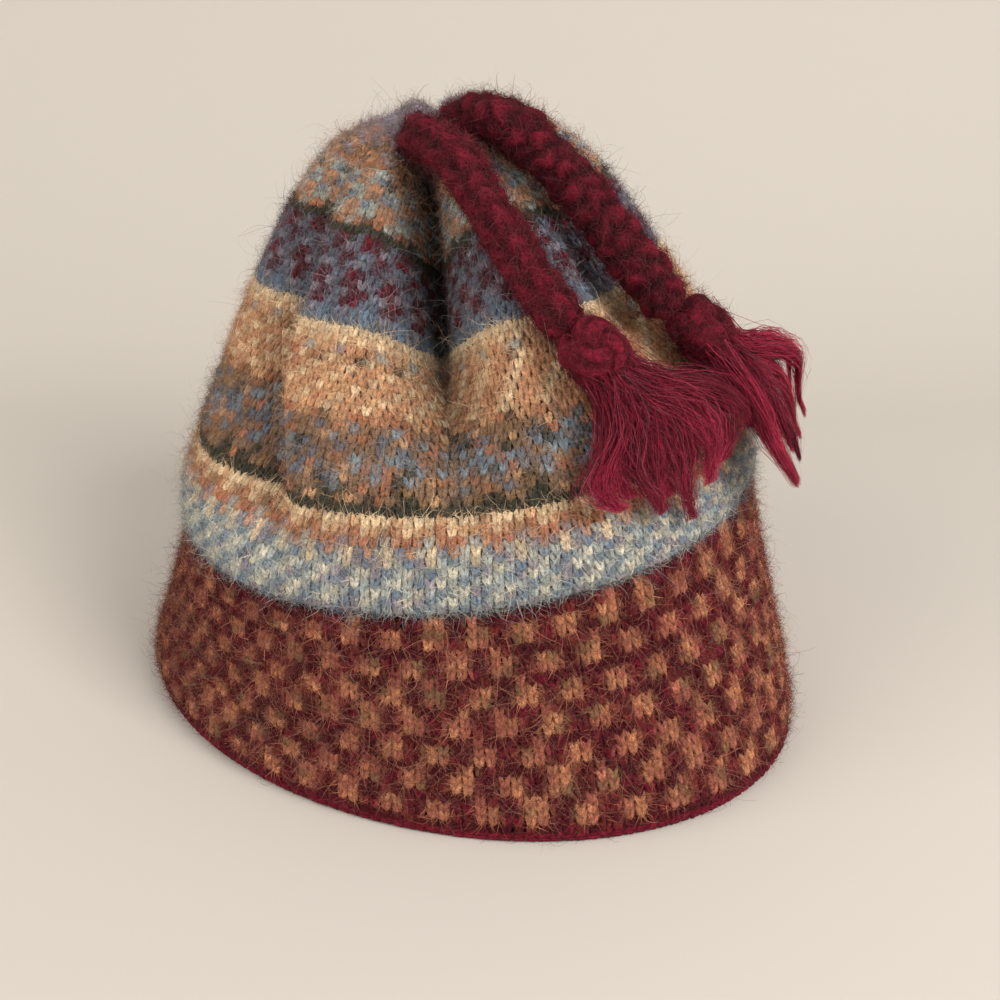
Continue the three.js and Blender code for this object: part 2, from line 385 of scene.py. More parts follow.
# %% [markdown]
# ## The drawcord ends
# Each cord end is a knitted tube that has been felted, so its stitches have grown together. The
# front one shows the smooth side: columns of slanting legs that meet in chevrons. The back one
# shows the rougher side: short bars, set like bricks. The cord comes out of the gather, lies on
# the crown and bridges its folds. So its path follows the form without its folds, raised by half
# its own thickness, and is sunk at its start. The relief is pushed out of the tube itself,
# because it shows at the cord's edge.

# %% cord paths
# The air between a cord and the crown
GAP = 0.7 * MM
# Angle round the crown and share of its rise, from the gather to the knot
FRONT_ROUTE = np.array([
    (-84, 0.965), (-71, 0.928), (-62, 0.895), (-56, 0.862), (-52, 0.829), (-49, 0.797),
    (-46.5, 0.764), (-44.5, 0.73), (-42.5, 0.697), (-40.5, 0.664), (-38.5, 0.63),
    (-36.5, 0.595), (-34.5, 0.56), (-32, 0.525), (-29.5, 0.49),
])
BACK_ROUTE = np.array([
    (-48, 0.968), (-30, 0.948), (-19, 0.928), (-20, 0.895), (-20.5, 0.863), (-20, 0.831),
    (-18.5, 0.8), (-17, 0.768), (-15.3, 0.735), (-13.5, 0.702), (-11.5, 0.668), (-10, 0.633),
    (-8.5, 0.597), (-7, 0.56), (-5, 0.523), (-2.8, 0.485), (-1.3, 0.466),
])
FRONT_DIAMETER = 12 * MM
BACK_DIAMETER = 14 * MM


def cord_path(route, diameter, start, sunk):
    """The cord's middle line, and the direction away from the crown along it."""
    share = np.linspace(start, 1, 400)
    angle, rise = smooth(route, share).T
    out = axes(CROWN, [], angle, rise)[2]
    sink = sunk * (1 - ease(start, start + 0.35, share))
    path = form(CROWN, [], angle, rise) + out * (diameter / 2 + GAP - sink)[:, None]
    even, length = sampled(path, 190)
    even_out = np.stack([np.interp(np.linspace(start, 1, 190), share, out[:, k])
                         for k in range(3)], -1)
    return even, unit(even_out), length


front_path, front_out, front_length = cord_path(FRONT_ROUTE, FRONT_DIAMETER, 0.05, 7 * MM)
back_path, back_out, back_length = cord_path(BACK_ROUTE, BACK_DIAMETER, 0, 10 * MM)
print("cords", round(front_length, 4), round(back_length, 4))


# %% cord relief
def chevrons(run, turn):
    """Relief of the smooth side: legs that slant to the cord's top line, as a share of 1."""
    column = turn / (2 * np.pi) * 5 + 0.25
    slant = np.abs((column % 1) - 0.5)
    leg = 0.5 + 0.5 * np.cos(2 * np.pi * (run / (6.2 * MM) - slant * 1.4) + np.sin(run * 310))
    valley = np.minimum(1, 3 * np.minimum(column % 1, 1 - column % 1))
    return 0.6 * leg * (0.3 + 0.7 * valley) + 0.4 * valley


def bars(run, turn):
    """Relief of the rough side: short slanting bars, each row set half a bar over."""
    column = turn / (2 * np.pi) * 6 + 0.15 * np.sin(run * 330)
    row = run / (5.4 * MM) + 0.7 * np.abs(column % 1 - 0.5) + 0.2 * np.sin(turn * 2 + run * 170)
    column = column + 0.5 * (np.floor(row) % 2)
    ridge = np.sin(np.pi * (row % 1)) ** 0.8
    bar = np.abs(np.sin(np.pi * column)) ** 0.6
    proud = 0.75 + 0.25 * np.sin(np.floor(row) * 12.9 + np.floor(column) * 78.2)
    return ridge * (0.15 + 0.85 * bar) * proud


# %% cord tubes
def cord_tube(name, path, out, length, diameter, relief, depth):
    sides = 44
    _, across, away = tube_axes(path, out)
    run = np.linspace(0, length, len(path))[:, None]
    turn = np.linspace(0, 2 * np.pi, sides, endpoint=False)[None, :]
    pattern = relief(run, turn)
    uneven = 0.35 * MM * np.sin(run * 260 + np.sin(turn * 2 + run * 90) * 1.3)
    radius = 0.46 * diameter - 0.6 * depth + depth * pattern + uneven
    rounded = np.sqrt(np.clip(np.minimum(run, length - run) / (0.3 * diameter), 0.02, 1))
    radius = radius * rounded
    points = tube_points(path, across, away, radius, turn)
    # Painted shade: the cord's colour is darker in the valleys of its relief.
    shade = 0.12 + 0.95 * pattern + 0.1 * np.sin(run * 700 + turn * 3)
    colours = shade[..., None] * COLOUR["crimson"]
    uv = np.stack(np.broadcast_arrays(run * 1500, turn * 6), -1).reshape(-1, 2)
    faces = grid_faces(len(path), sides)
    faces += [list(range(sides))[::-1], list(range(len(points[:-1]) * sides, len(path) * sides))]
    return mesh_piece(name, points.reshape(-1, 3), faces, colours.reshape(-1, 3), CORD_WOOL, uv)


cord_front = cord_tube("drawcord_front", front_path, front_out, front_length, FRONT_DIAMETER,
                       chevrons, 1.3 * MM)
cord_back = cord_tube("drawcord_back", back_path, back_out, back_length, BACK_DIAMETER,
                      bars, 1.8 * MM)
print("tubes of", len(cord_front.data.polygons), "and", len(cord_back.data.polygons), "faces")

# %% [markdown]
# ## The knots
# An overhand knot is a cord passed once through its own loop. Pulled tight, it is a trefoil: three
# turns that lie over each other. The cord is squeezed thinner in it, so the tube is slimmer here.

# %% knots
# Half sizes of the knot along the cord, across it and away, and half the squeezed cord's thickness
KNOT_HALF = np.array([6.5, 9, 7.5]) * MM
KNOT_STRAND = 4.3 * MM


def knot_place(path, out, diameter):
    """Middle of the knot and its directions along the cord, across it and away."""
    along, across, away = (axis[-1] for axis in tube_axes(path, out))
    middle = path[-1] + along * (KNOT_HALF[0] + GAP)
    return middle + away * (KNOT_HALF[2] - diameter / 2 + GAP), np.stack([along, across, away])


def knot_tube(name, place, relief, depth, start):
    middle, basis = place
    sides, steps = 24, 140
    way = np.linspace(0, 2 * np.pi, steps, endpoint=False) + start
    wide = (KNOT_HALF - KNOT_STRAND) * np.array([2.4, 0.95, 0.8])
    loop = np.stack([(2 + np.cos(3 * way)) / 3 * np.cos(2 * way),
                     (2 + np.cos(3 * way)) / 3 * np.sin(2 * way), np.sin(3 * way)], -1) * wide
    path = middle + loop @ basis
    along = unit(np.roll(path, -1, 0) - np.roll(path, 1, 0))
    across = unit(np.cross(basis[2], along))
    away = np.cross(along, across)
    length = np.linalg.norm(np.diff(path, axis=0), axis=1).sum()
    run = np.linspace(0, length, steps)[:, None]
    turn = np.linspace(0, 2 * np.pi, sides, endpoint=False)[None, :]
    pattern = relief(run, turn)
    radius = KNOT_STRAND - 0.5 * depth + depth * pattern
    points = tube_points(path, across, away, radius, turn)
    # Painted shade: the knot's colour is darker in the valleys of its relief.
    colours = (0.22 + 0.95 * pattern)[..., None] * COLOUR["crimson"]
    uv = np.stack(np.broadcast_arrays(run * 1500, turn * 6), -1).reshape(-1, 2)
    faces = grid_faces(steps, sides) + closing_faces((steps - 1) * sides, sides)
    return mesh_piece(name, points.reshape(-1, 3), faces, colours.reshape(-1, 3), CORD_WOOL, uv)


front_knot = knot_place(front_path, front_out, FRONT_DIAMETER)
back_knot = knot_place(back_path, back_out, BACK_DIAMETER)
knot_front = knot_tube("knot_turns_front", front_knot, chevrons, 1.0 * MM, 0.4)
knot_back = knot_tube("knot_turns_back", back_knot, bars, 1.3 * MM, 1.1)
print("knots at", front_knot[0].round(4), back_knot[0].round(4))

# %% [markdown]
# ## The tassels
# Below each knot the yarn ends hang loose. They part into a few locks whose fibres cling together.
# Each end is a thin wavy ribbon from the knot along the tassel's sections, which leans from its
# own place towards the tip of its lock. A tube would need six times the faces for a strand that
# is a fifth of a millimetre wide.

# %% tassel sections
# Angle, rise, half width, half thickness and lift of each section, from the knot to the tips
FRONT_TASSEL = np.array([
    [-25.1, 0.41, 5, 5, 3], [-23.1, 0.385, 9.5, 6.5, 1], [-21, 0.354, 14, 6.5, 0],
    [-19.5, 0.32, 16, 5.5, 0], [-18.5, 0.284, 16, 4.5, 0], [-17.7, 0.252, 12, 3, 0.5],
])
BACK_TASSEL = np.array([
    [4.2, 0.383, 5, 5, 3], [6.1, 0.357, 7.5, 6, 3], [9.1, 0.325, 10, 6, 3.5],
    [11.2, 0.289, 11, 5.5, 4.5], [13.4, 0.249, 11, 4.5, 5.5], [16.1, 0.207, 8, 3, 6.5],
])
# Each lock's tip: side and away in half sizes of the tassel, and its length in tassel lengths
FRONT_LOCKS = np.array([
    [1.6, 0.8, 0.75], [1.25, 0.4, 0.95], [0.85, 0.7, 1.1], [0.5, 0.1, 0.85], [0.2, 0.6, 1.35],
    [-0.15, 0.2, 1.05], [-0.5, 0.6, 1.15], [-0.85, 0.1, 0.9], [-1.25, 0.4, 0.95],
])
BACK_LOCKS = np.array([
    [2.0, 0.8, 1.0], [1.5, 1.4, 1.25], [1.0, 0.4, 1.1], [0.4, 0.9, 1.2], [-0.3, 0.3, 1.15],
    [-0.9, 1.0, 1.1], [-1.5, 0.5, 1.2], [-2.1, 0.9, 0.95],
])
print(len(FRONT_LOCKS), "locks in front,", len(BACK_LOCKS), "behind")


# %% tassel ends
def tassel_fibres(name, rows, locks, knot, seed, count=3400, segments=7):
    rng = np.random.default_rng(seed)
    share = np.linspace(0, 1, 60)
    angle, rise, wide, thick, lift = smooth(rows, share).T
    out = axes(CROWN, [], angle, rise)[2]
    spine = form(CROWN, [], angle, rise) + out * ((thick + lift) * MM + GAP)[:, None]
    _, across, away = tube_axes(spine, out)
    lock = rng.integers(len(locks), size=count)
    home = rng.normal(0, 0.6, (count, 2)).clip(-1.3, 1.3)
    aim = locks[lock, :2]
    loose = rng.normal(0, 0.22, (count, 2))
    stray = loose * rng.choice([1, 1, 1, 1, 1, 1, 1, 2.2], (count, 1))
    length = locks[lock, 2] * (1 - 0.4 * rng.power(0.5, count) * rng.uniform(0, 1, count))
    at = np.linspace(0, 1, segments + 1)[None, :] * length[:, None]
    wave = rng.uniform(0.02, 0.2, (count, 1, 2)) * np.sin(
        at[..., None] * rng.uniform(4, 13, (count, 1, 2)) + rng.uniform(0, 6.3, (count, 1, 2)))
    lean = ease(-0.2, 0.7, at)[..., None]
    point = 1 - 0.85 * ease(0.35, 1, at / length[:, None])[..., None]
    spot = home[:, None, :] * (1 - lean) + (aim[:, None, :] + stray[:, None, :] * point) * lean
    spot = spot + wave * at[..., None] ** 0.7

    def there(values):
        """Values along the spine at each point of each fibre, past its end as at its end."""
        return np.stack([np.interp(at, share, values[:, k]) for k in range(values.shape[1])], -1)

    past = np.maximum(at - 1, 0)[..., None] * (spine[-1] - spine[-12]) * 60 / 11
    size = there(np.stack([wide, thick], -1)) * MM
    top = there(away)
    middle = there(spine) + past + there(across) * spot[..., :1] * size[..., :1]
    middle += top * spot[..., 1:] * np.maximum(size[..., 1:], 3 * MM)
    within = rng.normal(0, 1, (count, 3)).clip(-2, 2) * [2, 3.6, 2.4] * MM
    root = knot[0] + within @ knot[1]
    held = (1 - ease(0, 0.22, at))[..., None]
    middle = middle + (root[:, None, :] - middle[:, :1, :]) * held
    facing = unit(top + rng.normal(0, 0.5, (count, 1, 3)))
    edge = unit(np.cross(np.gradient(middle, axis=1), facing))
    taper = 1 - 0.6 * np.linspace(0, 1, segments + 1)[:, None]
    half = rng.uniform(0.05, 0.11, (count, 1, 1)) * MM * taper
    pair = np.stack([middle - edge * half, middle + edge * half], 2)
    first = np.arange(count)[:, None] * (2 * segments + 2) + 2 * np.arange(segments)[None, :]
    faces = np.stack([first, first + 1, first + 3, first + 2], -1).reshape(-1, 4).tolist()
    lock_tone = rng.choice([0.65, 1.0, 1.3], len(locks))[lock]
    tone = np.repeat((rng.uniform(0.6, 2.9, count) * lock_tone)[:, None] * (0.7 + 0.4 * at), 2, 1)
    faded = COLOUR["lavender"] * rng.power(0.35, count)[:, None] * 0.16
    colours = tone[..., None] * COLOUR["crimson"] + faded[:, None, :]
    uv = np.stack(np.broadcast_arrays(at[..., None], np.array([0.0, 1.0])), -1).reshape(-1, 2)
    return mesh_piece(name, pair.reshape(-1, 3), faces, colours.reshape(-1, 3), STRAND_WOOL, uv)


tassel_front = tassel_fibres("yarn_ends_front", FRONT_TASSEL, FRONT_LOCKS, front_knot, 21)
tassel_back = tassel_fibres("yarn_ends_back", BACK_TASSEL, BACK_LOCKS, back_knot, 22)
print("tassel ends of", len(tassel_front.data.polygons), "faces each")

# %% [markdown]
# ## The charts
# A knitter works from a chart: one line for each row, one letter for each stitch, and the line is
# repeated round the hat. Most repeats here are four stitches wide. The rows below go from the
# bottom up. The cuff is maroon with staggered dots, two stitches wide and two rows high, and above
# each a row that is only partly in its colours. The crown has bands of slanting lines, checks and
# blobs, parted by dark rows. Yarn spun from several colours takes one of them at each stitch.

# %% charts
LETTERS = {
    "m": "maroon", "r": "copper", "o": "orange", "c": "cream", "n": "linen", "t": "tan",
    "w": "brown", "b": "blue", "g": "grey", "k": "green", "s": "slate", "v": "lavender",
    "e": "teal", "i": "mint", "p": "plum",
}
CUFF_CHART = ["mmmm", "mmmm"]
for pair in range(7):
    whole, part = ("ddmm", "xxmm") if pair % 2 == 0 else ("mmdd", "mmxx")
    CUFF_CHART += [whole, whole, part]
CROWN_CHART = [
    ["gvgg", "gbgv", "ngbg", "gngb", "gbgn", "ngbg", "bgcg", "ogcb"],
    ["rgor", "tyrc", "cctc"],
    ["kkkk", "wkwy"],
    ["weww", "eeyw", "weye", "eyee", "wewe", "eewy", "wyey"],
    ["wttr", "ctot", "tcto", "otct", "totc", "ctot", "wcto", "tgtt", "ctct", "cccc"],
    ["bsss", "svsb", "ppss", "ppsv", "vspp", "sspp", "psvs", "ppss", "vspp", "kspp"],
    ["kkkk"],
    ["wirw", "ooii", "oobi", "biow", "iioo", "woib", "ooii", "rwrw"],
    ["wtwv", "twvw", "wwtv", "vwvw", "wvwv", "vvwv", "vwvv", "vvvv", "vvvv"],
]
# Yarns that were spun from several colours, as shares of them. They come before the plain ones.
BLENDS = {
    "d": ["rust", "rust", "ochre", "ochre", "amber", "olive"],
    "x": ["rust", "ochre", "brick", "maroon", "maroon", "maroon"],
    "m": ["maroon"] * 6 + ["crimson", "crimson", "brick"],
    "g": ["grey", "grey", "grey", "lavender"],
    "t": ["tan", "tan", "orange"],
    "w": ["brown", "brown", "copper", "olive", "green"],
    "e": ["teal", "slate", "brown"],
    "y": ["copper", "brown", "olive", "tan"],
    "p": ["plum", "plum", "crimson"],
}
print(len(CUFF_CHART), "cuff rows,", sum(len(band) for band in CROWN_CHART), "crown rows")

# %% [markdown]
# ## Where the stitches sit
# Every stitch in a row is as wide as its neighbours, so a row's stitches are spaced by length
# round the folded face, not by angle. The fabric narrows upwards, so each band has its own count.

# %% stitch places
CUFF_COUNT = 192
STITCH_WIDTH = 2.8 * MM
STITCH_DEPTH = 2.6 * MM


def ring(rows, folds, rise, count, shift=0.0):
    """Angles that part a row into stitches of one width, counted from the back."""
    fine = np.linspace(90, 450, 1441)
    line = form(rows, folds, (fine + 180) % 360 - 180, rise)
    run = np.concatenate([[0], np.cumsum(np.linalg.norm(np.diff(line, axis=0), axis=1))])
    at = (np.arange(count) + shift) / count * run[-1]
    return (np.interp(at, run, fine) + 180) % 360 - 180, run[-1]


def even_rises(rows, count):
    """Shares of the rise that part the face into rows of one mean height."""
    rise = np.linspace(0, 1, 600)
    lines = np.stack([form(rows, [], angle, rise) for angle in (-90, -38, 0, 90, 180)])
    steps = np.linalg.norm(np.diff(lines, axis=1), axis=2).mean(0)
    run = np.concatenate([[0], np.cumsum(steps)])
    return np.interp(np.linspace(0, run[-1], count + 1), run, rise)


def stitches(rows, folds, rises, bands, seed):
    """Places, directions, sizes and colours of the stitches of these bands, row by row."""
    rng = np.random.default_rng(seed)
    parts = []
    row = 0
    for band in bands:
        middle = rises[min(row + len(band) // 2, len(rises) - 2)]
        around = ring(rows, folds, middle, 4)[1]
        count = CUFF_COUNT if rows is CUFF else max(8, 4 * round(around / (4 * STITCH_WIDTH)))
        for line in band:
            low, high = rises[row], rises[row + 1]
            angle, around = ring(rows, folds, low, count)
            here = form(rows, folds, angle, low)
            tall = np.linalg.norm(form(rows, folds, angle, high) - here, axis=1)
            _, up, out = axes(rows, folds, angle, 0.5 * (low + high))
            letters = [line[i % len(line)] for i in range(count)]
            names = [rng.choice(BLENDS[x]) if x in BLENDS else LETTERS[x] for x in letters]
            tint = np.array([COLOUR[n] for n in names]) * rng.uniform(0.82, 1.18, (count, 1))
            size = np.stack([np.full(count, around / count), tall,
                             np.full(count, STITCH_DEPTH)], -1)
            centre = np.full(count, 0.5 * (low + high))
            parts.append((form(rows, folds, angle, centre), up, out, size, tint,
                          np.stack([angle, centre], -1)))
            row += 1
    return [np.concatenate(kind) for kind in zip(*parts)]


cuff_rises = even_rises(CUFF, len(CUFF_CHART))
crown_rises = even_rises(CROWN, sum(len(band) for band in CROWN_CHART))
*cuff_stitches, _ = stitches(CUFF, [], cuff_rises, [CUFF_CHART], 1)
*crown_stitches, crown_spots = stitches(CROWN, FOLDS, crown_rises, CROWN_CHART, 2)
# How deep a stitch of the crown lies in a fold, from the face without its folds. Stitches deep in a
# fold are darkened by up to 0.45 of their colour: painted shade in the folds.
smooth_face = form(CROWN, [], *crown_spots.T)
crown_fold_shade = ease(6 * MM, 16 * MM, np.linalg.norm(crown_stitches[0] - smooth_face, axis=1))
crown_stitches[4] *= 1 - 0.45 * crown_fold_shade[:, None]
print(len(cuff_stitches[0]), "cuff stitches,", len(crown_stitches[0]), "crown stitches")

# %% [markdown]
# ## The walls behind the stitches
# Between and behind the stitches the strands of the other colours run across, so no light comes
# through. A plain wall stands for them: its outer face lies just under the stitches, in each row's
# mean colour at half its tone, which is painted shade between the stitches, and its inner
# face shows the back of the knitting, at 0.8 of that colour.

# %% walls
CUFF_THICK = 3 * MM
CROWN_THICK = 2.8 * MM
WALL_BEHIND = 1.3 * MM


def wall(name, rows, folds, rises, chart, thick, steps, top=None):
    columns = 144
    angle = np.linspace(-180, 180, columns, endpoint=False)
    rise = np.linspace(0, 1, steps)
    out = axes(rows, folds, angle[None, :], rise[:, None])[2]
    face = form(rows, folds, angle[None, :], rise[:, None])
    level = out.copy()
    level[..., 2] *= 0 if top is None else ease(0, 0.1, rise)[:, None]
    level = unit(level)
    outer = face - level * WALL_BEHIND
    inner = face - level * thick
    index = np.clip(np.searchsorted(rises, rise, side="right") - 1, 0, len(chart) - 1)
    ground = np.array([np.mean([COLOUR[LETTERS.get(x, "brick")] for x in line], axis=0)
                       for line in chart])[index]
    tint = np.repeat(ground[:, None, :], columns, 1)
    uv = np.stack(np.broadcast_arrays(np.linspace(0, CUFF_COUNT, columns)[None, :],
                                      (rise * len(chart))[:, None]), -1)
    rings = np.concatenate([inner[::-1], outer])
    # Painted shade: the outer face at half the row's colour, the inner face at 0.8 of it.
    tones = np.concatenate([tint[::-1] * 0.8, tint * 0.5])
    maps = np.concatenate([uv[::-1], uv])
    points = rings.reshape(-1, 3)
    faces = grid_faces(len(rings), columns)
    tones = tones.reshape(-1, 3)
    maps = maps.reshape(-1, 2)
    last = (len(rings) - 1) * columns
    if top is None:
        faces += closing_faces(last, columns)
    else:
        points = np.concatenate([points, [top - [0, 0, 2 * thick], top]])
        tones = np.concatenate([tones, tones[[0, -1]]])
        maps = np.concatenate([maps, maps[[0, -1]]])
        first_pole, last_pole = len(points) - 2, len(points) - 1
        for j in range(columns):
            k = (j + 1) % columns
            faces += [[first_pole, k, j], [last_pole, last + j, last + k]]
    return mesh_piece(name, points, faces, tones, BACKING_WOOL, maps)


crown_lines = [line for band in CROWN_CHART for line in band]
pucker = np.array([-14.5, 8.5, 161]) * MM
cuff_wall = wall("cuff_wall", CUFF, [], cuff_rises, CUFF_CHART, CUFF_THICK, 14)
crown_wall = wall("crown_wall", CROWN, FOLDS, crown_rises, crown_lines, CROWN_THICK, 46, pucker)
print("walls of", len(cuff_wall.data.polygons), "and", len(crown_wall.data.polygons), "faces")

# %% [markdown]
# ## One small tree that sets many forms
# Stitches and hairs repeat thousands of times. Each place is a point that carries its directions,
# its size and its yarn. Geometry Nodes sets a form on every point, turns and scales it a little
# unevenly, as handwork does, and makes the copies real. The same tree serves them all, with other
# inputs.

# %% the repeat
def repeat_tree():
    tree = bpy.data.node_groups.new("set forms on points", "GeometryNodeTree")
    sockets = [("Geometry", "NodeSocketGeometry"), ("Forms", "NodeSocketCollection"),
               ("Wool", "NodeSocketMaterial"), ("Uneven turn", "NodeSocketFloat"),
               ("Uneven size", "NodeSocketFloat"), ("Seed", "NodeSocketInt")]
    for name, kind in sockets:
        tree.interface.new_socket(name, in_out="INPUT", socket_type=kind)
    tree.interface.new_socket("Geometry", in_out="OUTPUT", socket_type="NodeSocketGeometry")
    given = node(tree, "NodeGroupInput").outputs
    field = {}
    for name, kind in [("along", "FLOAT_VECTOR"), ("out", "FLOAT_VECTOR"),
                       ("size", "FLOAT_VECTOR"), ("form", "INT")]:
        field[name] = node(tree, "GeometryNodeInputNamedAttribute", {"Name": name},
                           data_type=kind).outputs["Attribute"]
    forms = node(tree, "GeometryNodeCollectionInfo", {
        "Collection": given["Forms"], "Separate Children": True, "Reset Children": True})
    faced = node(tree, "FunctionNodeAxesToRotation", {
        "Primary Axis": field["along"], "Secondary Axis": field["out"]},
        primary_axis="Y", secondary_axis="Z")
    placed = node(tree, "GeometryNodeInstanceOnPoints", {
        "Points": given["Geometry"], "Instance": forms.outputs[0], "Pick Instance": True,
        "Instance Index": field["form"], "Rotation": faced.outputs[0], "Scale": field["size"]})
    less = node(tree, "ShaderNodeMath", {0: given["Uneven turn"], 1: -1.0}, operation="MULTIPLY")
    turn = node(tree, "FunctionNodeRandomValue", {
        "Min": less.outputs[0], "Max": given["Uneven turn"], "Seed": given["Seed"]},
        data_type="FLOAT_VECTOR")
    turned = node(tree, "GeometryNodeRotateInstances", {
        "Instances": placed.outputs[0], "Rotation": turn.outputs[0], "Local Space": True})
    small = node(tree, "ShaderNodeMath", {0: 1.0, 1: given["Uneven size"]}, operation="SUBTRACT")
    large = node(tree, "ShaderNodeMath", {0: 1.0, 1: given["Uneven size"]}, operation="ADD")
    grow = node(tree, "FunctionNodeRandomValue", {
        "Min": small.outputs[0], "Max": large.outputs[0], "Seed": given["Seed"]},
        data_type="FLOAT_VECTOR")
    sized = node(tree, "GeometryNodeScaleInstances", {
        "Instances": turned.outputs[0], "Scale": grow.outputs[0], "Local Space": True})
    real = node(tree, "GeometryNodeRealizeInstances", {"Geometry": sized.outputs[0]})
    dyed = node(tree, "GeometryNodeSetMaterial", {
        "Geometry": real.outputs[0], "Material": given["Wool"]})
    node(tree, "NodeGroupOutput", {"Geometry": dyed.outputs[0]})
    return tree


REPEAT = repeat_tree()
print(len(REPEAT.nodes), "nodes in the tree")


# %% forms and pieces
def forms_of(name, shapes):
    """A collection of small meshes, each given by its points, faces, map and a factor of painted
    shade.
    """
    group = bpy.data.collections.new(name)
    for i, (points, faces, uv, ply) in enumerate(shapes):
        mesh = bpy.data.meshes.new(f"{name}_{i:02d}")
        mesh.from_pydata(points.tolist(), [], faces)
        mesh.polygons.foreach_set("use_smooth", np.ones(len(mesh.polygons), bool))
        corner = np.empty(len(mesh.loops), int)
        mesh.loops.foreach_get("vertex_index", corner)
        mesh.uv_layers.new(name="strand").data.foreach_set("uv", uv[corner].ravel())
        mesh.attributes.new("ply", "FLOAT", "POINT").data.foreach_set("value", ply)
        group.objects.link(bpy.data.objects.new(mesh.name, mesh))
    return group


def set_forms(name, places, forms, material, turn, uneven, seed):
    """A piece of forms on places, given as points, along, out, size, colour and form number."""
    points, along, out, size, tint, pick = places
    mesh = bpy.data.meshes.new(name)
    mesh.from_pydata(points.tolist(), [], [])
    for label, values in [("along", along), ("out", out), ("size", size)]:
        store = mesh.attributes.new(label, "FLOAT_VECTOR", "POINT")
        store.data.foreach_set("vector", np.ascontiguousarray(values, float).ravel())
    rgba = np.ones((len(points), 4))
    rgba[:, :3] = tint
    mesh.attributes.new("yarn", "FLOAT_COLOR", "POINT").data.foreach_set("color", rgba.ravel())
    mesh.attributes.new("form", "INT", "POINT").data.foreach_set("value", pick)
    piece = bpy.data.objects.new(name, mesh)
    scene.collection.objects.link(piece)
    repeat = piece.modifiers.new("repeat", "NODES")
    repeat.node_group = REPEAT
    given = {"Forms": forms, "Wool": material, "Uneven turn": turn, "Uneven size": uneven,
             "Seed": seed}
    for item in REPEAT.interface.items_tree:
        if item.in_out == "INPUT" and item.name in given:
            repeat[item.identifier] = given[item.name]
    graph = bpy.context.evaluated_depsgraph_get()
    made = bpy.data.meshes.new_from_object(piece.evaluated_get(graph))
    piece.modifiers.remove(repeat)
    piece.data = made
    place = np.empty(len(made.vertices) * 3)
    made.vertices.foreach_get("co", place)
    place[2::3] = np.maximum(place[2::3], 0)
    made.vertices.foreach_set("co", place)
    for label in ("along", "out", "size", "form"):
        if label in made.attributes:
            made.attributes.remove(made.attributes[label])
    return piece

# %% [markdown]
# ## The stitches
# A plain knit stitch shows as a V: two legs of yarn that rise from one point, lean outwards and
# tuck in behind the stitch above. Each leg is a small leaf of yarn, half round in section, proud at
# its foot and sunk at its tip. Four uneven pairs of legs serve every stitch, with a few faces each,
# because there are thousands of them.

# %% stitches
def leaf(lean, rng, sides=4):
    """One leg of a stitch in a unit cell: across, up and out, open where it meets the wall."""
    spread = rng.uniform(-0.02, 0.02)
    foot = np.array([0.02 * lean, -0.72, 0.08])
    tip = np.array([(0.5 + spread) * lean, 0.74, -0.2])
    along = unit(tip - foot)
    across = unit(np.cross(along, [0, 0, 1]))
    top = np.cross(across, along)
    # Painted shade: each leg is darker at its sides, foot and tip, where it turns under.
    points, uv, ply = [foot], [(3 * lean, 0.5)], [0.5]
    for share, fat in [(0.3, 1.0), (0.72, 0.92)]:
        bow = np.array([-0.05 * lean, 0, 0.13]) * math.sin(math.pi * share)
        for turn in np.linspace(-0.35, math.pi + 0.35, sides):
            points.append(foot + (tip - foot) * share + bow
                          + across * (0.28 * fat * math.cos(turn))
                          + top * (0.3 * fat * math.sin(turn)))
            uv.append((share + 3 * lean, turn / 6.28))
            ply.append(0.72 + 0.36 * math.sin(turn))
    points, uv, ply = points + [tip], uv + [(1 + 3 * lean, 0.5)], ply + [0.5]
    faces = []
    for j in range(1, sides):
        faces += [[0, j, j + 1], [j, sides + j, sides + j + 1, j + 1]]
        faces += [[2 * sides + 1, sides + j + 1, sides + j]]
    return np.array(points), faces, np.array(uv), np.array(ply)


LEGS = forms_of("leg", [leaf(lean, np.random.default_rng(seed)) for seed in range(4)
                        for lean in (-1, 1)])


# %% knitting
def legs(places, seed):
    """Both legs of each stitch, each a little in the colour of the stitch on its own side."""
    rng = np.random.default_rng(seed)
    points, along, out, size, tint = places
    pick = 2 * rng.integers(4, size=len(points))
    sides = []
    for lean in (0, 1):
        beside = np.roll(tint, 1 - 2 * lean, axis=0)
        share = rng.uniform(0, 0.35, (len(points), 1))
        tone = rng.uniform(0.8, 1.2, (len(points), 1))
        sides.append([points, along, out, size, (tint * (1 - share) + beside * share) * tone,
                      pick + lean])
    return [np.concatenate(kind) for kind in zip(*sides)]


# How deep a leg lies in the face, and its width as a share of its cell's
LEG_SINK = 0.75 * MM
LEG_WIDE = 0.93


def knit(name, places, material, seed, reach=1.0):
    points, along, out, size, tint = places
    sunk = [points - out * LEG_SINK, along, out, size * [LEG_WIDE, reach, 1], tint]
    return set_forms(name, legs(sunk, seed), LEGS, material, 0.09, 0.07, seed)


cuff_knit = knit("cuff_knit", cuff_stitches, CUFF_WOOL, 3, 1.15)
